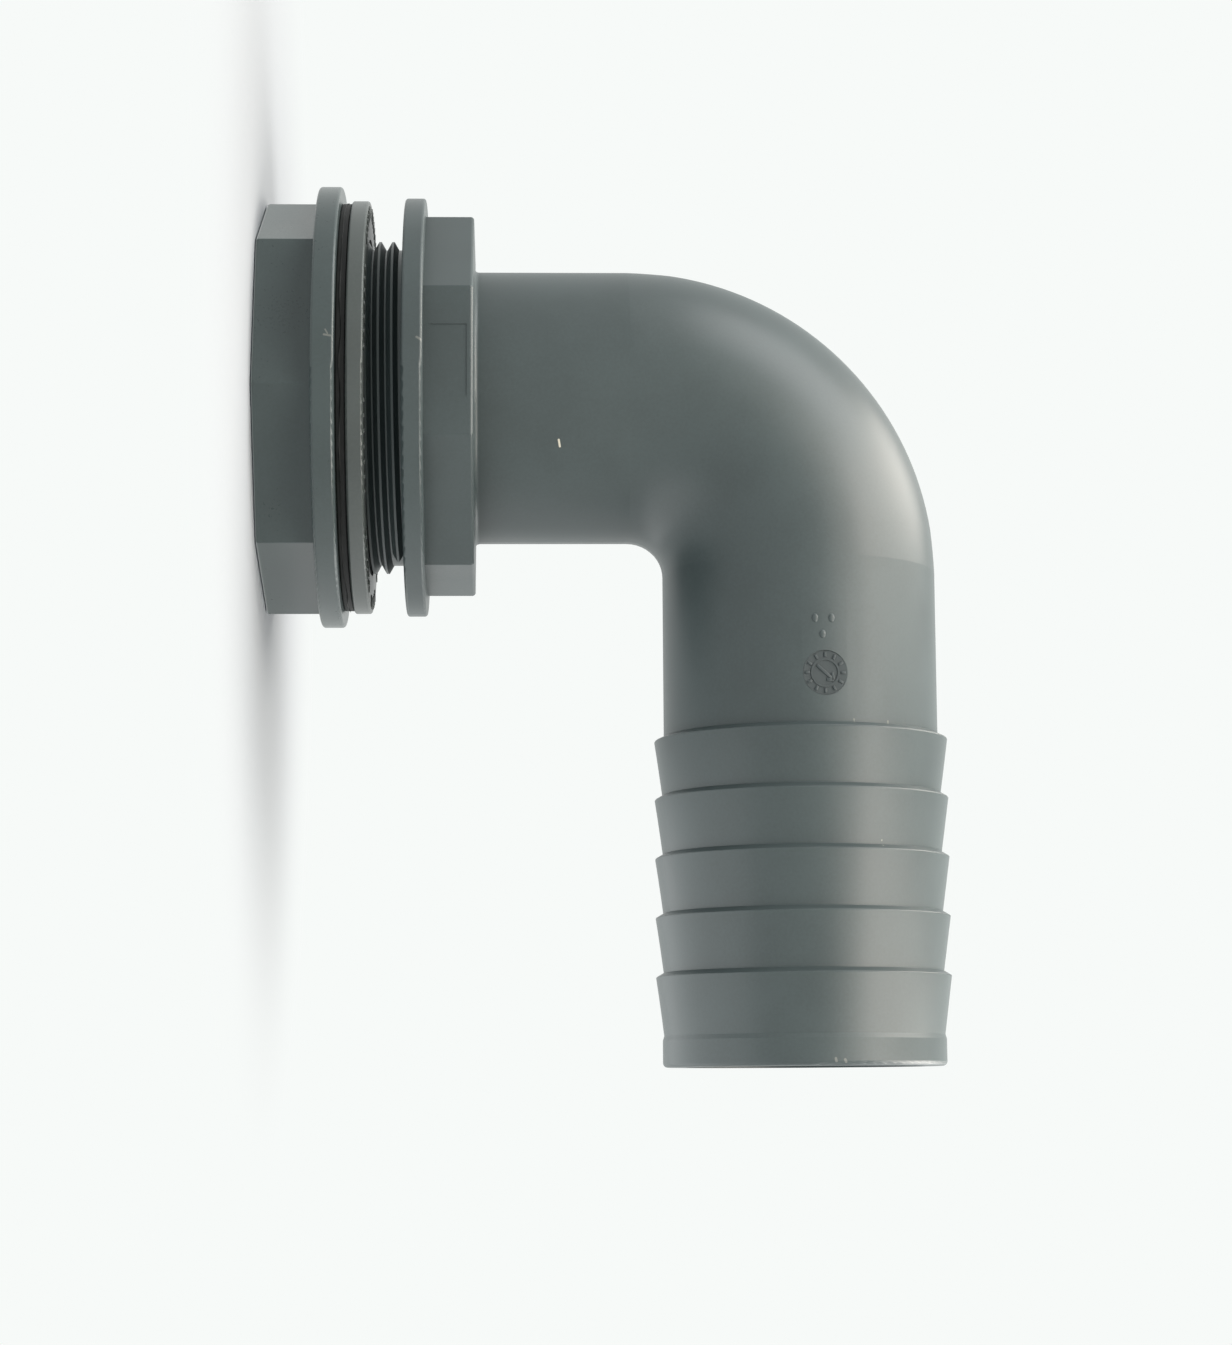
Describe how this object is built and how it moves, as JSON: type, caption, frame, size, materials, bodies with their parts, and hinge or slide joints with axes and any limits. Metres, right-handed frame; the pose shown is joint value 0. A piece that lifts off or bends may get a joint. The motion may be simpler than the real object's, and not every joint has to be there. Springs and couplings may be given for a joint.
{
  "type": "tank connector with elbow hose tail",
  "caption": "Moulded pipe elbow that passes a tank wall by a threaded spigot, clamped by an octagonal flanged nut on a gasket and washer, with a barbed hose tail.",
  "frame": {"origin": "centre of the spigot's open end, the face that the fitting stands on", "axes": "+Z along the thread's axis, from the open end towards the flange and the bend; +X the way the hose tail points"},
  "size_m": [0.1577, 0.079, 0.1217],
  "materials": {
    "grey_plastic": "satin moulded",
    "nut_plastic": "satin moulded",
    "washer_plastic": "satin moulded",
    "black_rubber": "dull"
  },
  "bodies": {
    "elbow": {"elbow_body": "grey_plastic"},
    "rings": {"rubber_gasket": "black_rubber", "clamp_washer": "washer_plastic"},
    "nut": {"back_nut": "nut_plastic"}
  },
  "joints": [
    {"name": "ring_travel", "type": "slide", "parent": "elbow", "child": "rings", "axis": [0, 0, 1], "range_m": [0, 0.0061]},
    {"name": "nut_turn", "type": "hinge", "parent": "rings", "child": "nut", "pos_m": [0, 0, 0.0072], "axis": [0, 0, 1], "range_deg": [0, 952]}
  ],
  "couplings": [
    {"joint": "nut_turn", "follows": "ring_travel", "rad_per_m": 2721.1}
  ]
}
